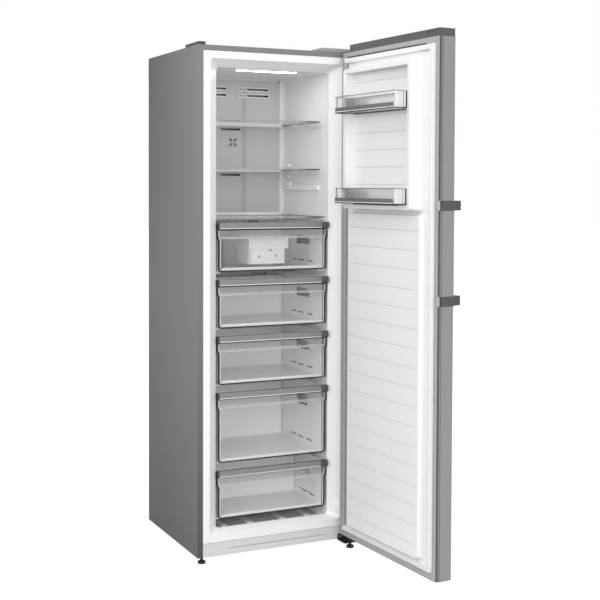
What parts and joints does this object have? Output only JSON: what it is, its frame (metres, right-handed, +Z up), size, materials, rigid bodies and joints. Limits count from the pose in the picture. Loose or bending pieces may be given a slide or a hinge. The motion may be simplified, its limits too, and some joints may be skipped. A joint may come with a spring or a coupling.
{
  "type": "upright freezer",
  "caption": "Upright freezer with an open insulated door, glass shelves, clear sliding drawers, door bins and a bar handle.",
  "frame": {"origin": "on the floor under the middle of the freezer as it stands with its door open", "axes": "+Z up, +Y towards the back of the cabinet, +X to the right as seen from the front"},
  "size_m": [0.6662, 1.1422, 1.801],
  "materials": {
    "steel": "satin",
    "zinc_sheet": "satin",
    "foam": "matte",
    "liner": "satin",
    "white_trim": "satin",
    "dark_trim": "matte",
    "grey_trim": "satin",
    "lamp": "gloss",
    "coil": "satin",
    "heater": "gloss",
    "compressor_paint": "satin",
    "rubber": "matte",
    "screw_steel": "satin",
    "gasket": "matte",
    "handle_metal": "satin",
    "bracket_metal": "satin",
    "clear_plastic": "gloss",
    "shelf_glass": "gloss",
    "grip_plastic": "satin"
  },
  "bodies": {
    "cabinet": {"outer_shell": "steel", "back_panel": "zinc_sheet", "bottom_panel": "zinc_sheet", "compressor_base": "zinc_sheet", "cabinet_foam": "foam", "inner_liner": "liner", "wall_rails": "liner", "shelf_trims": "white_trim", "kick_plate": "white_trim", "top_corner_cap": "dark_trim", "top_hinge_cover": "dark_trim", "top_hinge": "zinc_sheet", "bottom_hinge": "zinc_sheet", "ceiling_lamp": "lamp", "duct_cover": "liner", "evaporator": "coil", "defrost_heater": "heater", "evaporator_fan_shroud": "white_trim", "compressor": "compressor_paint", "compressor_mounts": "rubber", "condenser": "coil", "condenser_fan_shroud": "dark_trim", "drip_tray": "dark_trim", "control_box": "dark_trim", "power_inlet": "dark_trim", "front_feet": "dark_trim", "machine_cover": "dark_trim", "cabinet_screws": "screw_steel", "shelf_glass_1": "shelf_glass", "shelf_glass_2": "shelf_glass", "shelf_glass_3": "shelf_glass"},
    "evaporator_fan": {"evaporator_fan": "white_trim"},
    "condenser_fan": {"condenser_fan": "dark_trim"},
    "rear_roller_left": {"rear_roller_left": "dark_trim"},
    "rear_roller_right": {"rear_roller_right": "dark_trim"},
    "door": {"door_skin": "steel", "door_foam": "foam", "door_liner": "liner", "door_gasket": "gasket", "door_top_cap": "grey_trim", "door_bottom_cap": "grey_trim", "handle_bar": "handle_metal", "handle_brackets": "bracket_metal", "bin_upper": "clear_plastic", "bin_lower": "clear_plastic"},
    "bin_divider_upper": {"bin_divider_upper": "clear_plastic"},
    "bin_divider_lower": {"bin_divider_lower": "clear_plastic"},
    "drawer_1": {"drawer_1": "clear_plastic", "drawer_handle_1": "grip_plastic", "ice_bin": "clear_plastic", "ice_maker": "white_trim"},
    "drawer_2": {"drawer_2": "clear_plastic", "drawer_handle_2": "grip_plastic"},
    "drawer_3": {"drawer_3": "clear_plastic", "drawer_handle_3": "grip_plastic"},
    "drawer_4": {"drawer_4": "clear_plastic", "drawer_handle_4": "grip_plastic"},
    "drawer_5": {"drawer_5": "clear_plastic", "drawer_handle_5": "grip_plastic"}
  },
  "joints": [
    {"name": "door_hinge", "type": "hinge", "parent": "cabinet", "child": "door", "pos_m": [0.23792, 0.00313, 0.024], "axis": [0, 0, 1], "range_deg": [-93, 37]},
    {"name": "evaporator_fan_spin", "type": "hinge", "parent": "cabinet", "child": "evaporator_fan", "pos_m": [-0.03558, 0.47413, 1.024], "axis": [0, -1, 0], "continuous": true},
    {"name": "condenser_fan_spin", "type": "hinge", "parent": "cabinet", "child": "condenser_fan", "pos_m": [-0.01878, 0.47413, 0.101], "axis": [1, 0, 0], "continuous": true},
    {"name": "rear_roller_left_spin", "type": "hinge", "parent": "cabinet", "child": "rear_roller_left", "pos_m": [-0.28808, 0.53313, 0.0115], "axis": [1, 0, 0], "continuous": true},
    {"name": "rear_roller_right_spin", "type": "hinge", "parent": "cabinet", "child": "rear_roller_right", "pos_m": [0.21692, 0.53313, 0.0115], "axis": [1, 0, 0], "continuous": true},
    {"name": "drawer_1_slide", "type": "slide", "parent": "cabinet", "child": "drawer_1", "axis": [0, -1, 0], "range_m": [0, 0.3]},
    {"name": "drawer_2_slide", "type": "slide", "parent": "cabinet", "child": "drawer_2", "axis": [0, -1, 0], "range_m": [0, 0.3]},
    {"name": "drawer_3_slide", "type": "slide", "parent": "cabinet", "child": "drawer_3", "axis": [0, -1, 0], "range_m": [0, 0.3]},
    {"name": "drawer_4_slide", "type": "slide", "parent": "cabinet", "child": "drawer_4", "axis": [0, -1, 0], "range_m": [0, 0.3]},
    {"name": "drawer_5_slide", "type": "slide", "parent": "cabinet", "child": "drawer_5", "axis": [0, -1, 0], "range_m": [0, 0.2]},
    {"name": "bin_divider_upper_slide", "type": "slide", "parent": "door", "child": "bin_divider_upper", "axis": [-0.0523, 0.9986, 0], "range_m": [-0.26, 0.035]},
    {"name": "bin_divider_lower_slide", "type": "slide", "parent": "door", "child": "bin_divider_lower", "axis": [-0.0523, 0.9986, 0], "range_m": [-0.26, 0.035]}
  ]
}
